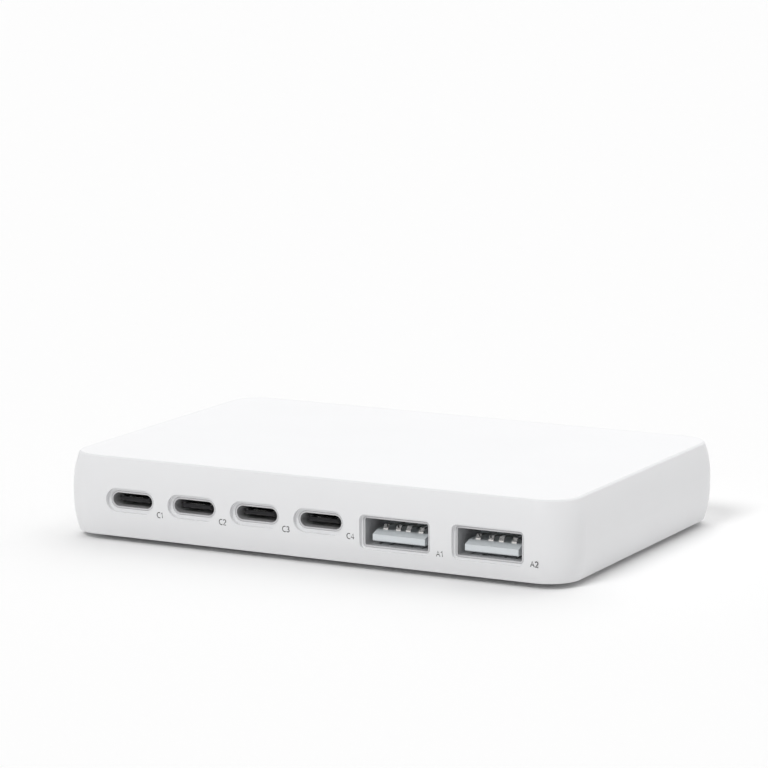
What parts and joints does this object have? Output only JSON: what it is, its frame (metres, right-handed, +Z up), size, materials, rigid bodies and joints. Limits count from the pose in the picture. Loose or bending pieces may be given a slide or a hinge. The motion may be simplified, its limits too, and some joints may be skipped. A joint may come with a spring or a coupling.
{
  "type": "multi-port usb desktop charger",
  "caption": "Flat white desktop charger with crowned sides, a row of USB-C and USB-A sockets along its front and a figure-8 mains inlet at the back.",
  "frame": {"origin": "under the middle of the charger, on the surface that its feet stand on", "axes": "+X along the row of ports from left to right seen from the front, ports face -Y, +Z up"},
  "size_m": [0.1038, 0.0702, 0.016],
  "materials": {
    "shell_plastic": "fine satin moulded white",
    "foot_rubber": "soft matt grey rubber",
    "receptacle_steel": "rolled bright steel sheet",
    "black_insulator": "moulded black nylon",
    "pale_insulator": "moulded pale nylon",
    "contact_plating": "nickel on bronze",
    "inlet_plastic": "moulded white",
    "pin_plating": "nickel plated",
    "board_laminate": "green solder mask",
    "spreader_aluminium": "rolled sheet",
    "pad_silicone": "soft grey-blue silicone",
    "sheet_film": "black insulating film",
    "ferrite": "dark sintered ferrite",
    "copper_winding": "enamelled copper wire",
    "can_aluminium": "drawn can",
    "can_sleeve": "shrunk dark sleeve",
    "chip_epoxy": "moulded epoxy",
    "film_case": "moulded yellow case",
    "capacitor_lacquer": "dipped blue lacquer",
    "fuse_ceramic": "glazed ceramic"
  },
  "bodies": {
    "root": {"back_foot": "foot_rubber", "base_cover": "shell_plastic", "bridge_rectifier": "chip_epoxy", "buck_inductor_1": "ferrite", "buck_inductor_2": "ferrite", "buck_inductor_3": "ferrite", "buck_inductor_4": "ferrite", "bulk_capacitor_1": "can_sleeve", "bulk_capacitor_2": "can_sleeve", "bulk_capacitor_3": "can_sleeve", "choke_core": "ferrite", "choke_windings": "copper_winding", "film_capacitor": "film_case", "front_foot": "foot_rubber", "fuse": "fuse_ceramic", "heat_spreader": "spreader_aluminium", "housing": "shell_plastic", "inlet_body": "inlet_plastic", "inlet_pins": "pin_plating", "insulation_sheet": "sheet_film", "main_board": "board_laminate", "output_capacitor_1": "can_aluminium", "output_capacitor_2": "can_aluminium", "output_capacitor_3": "can_aluminium", "output_capacitor_4": "can_aluminium", "output_capacitor_5": "can_aluminium", "output_capacitor_6": "can_aluminium", "port_controller_1": "chip_epoxy", "port_controller_2": "chip_epoxy", "port_controller_3": "chip_epoxy", "power_switch": "chip_epoxy", "rectifier_switch": "chip_epoxy", "safety_capacitor": "capacitor_lacquer", "thermal_pad": "pad_silicone", "transformer_core": "ferrite", "transformer_winding": "copper_winding", "usb_a_contacts_1": "contact_plating", "usb_a_contacts_2": "contact_plating", "usb_a_shell_1": "receptacle_steel", "usb_a_shell_2": "receptacle_steel", "usb_a_tongue_1": "pale_insulator", "usb_a_tongue_2": "pale_insulator", "usb_c_contacts_1": "contact_plating", "usb_c_contacts_2": "contact_plating", "usb_c_contacts_3": "contact_plating", "usb_c_contacts_4": "contact_plating", "usb_c_shell_1": "receptacle_steel", "usb_c_shell_2": "receptacle_steel", "usb_c_shell_3": "receptacle_steel", "usb_c_shell_4": "receptacle_steel", "usb_c_tongue_1": "black_insulator", "usb_c_tongue_2": "black_insulator", "usb_c_tongue_3": "black_insulator", "usb_c_tongue_4": "black_insulator"}
  },
  "joints": []
}
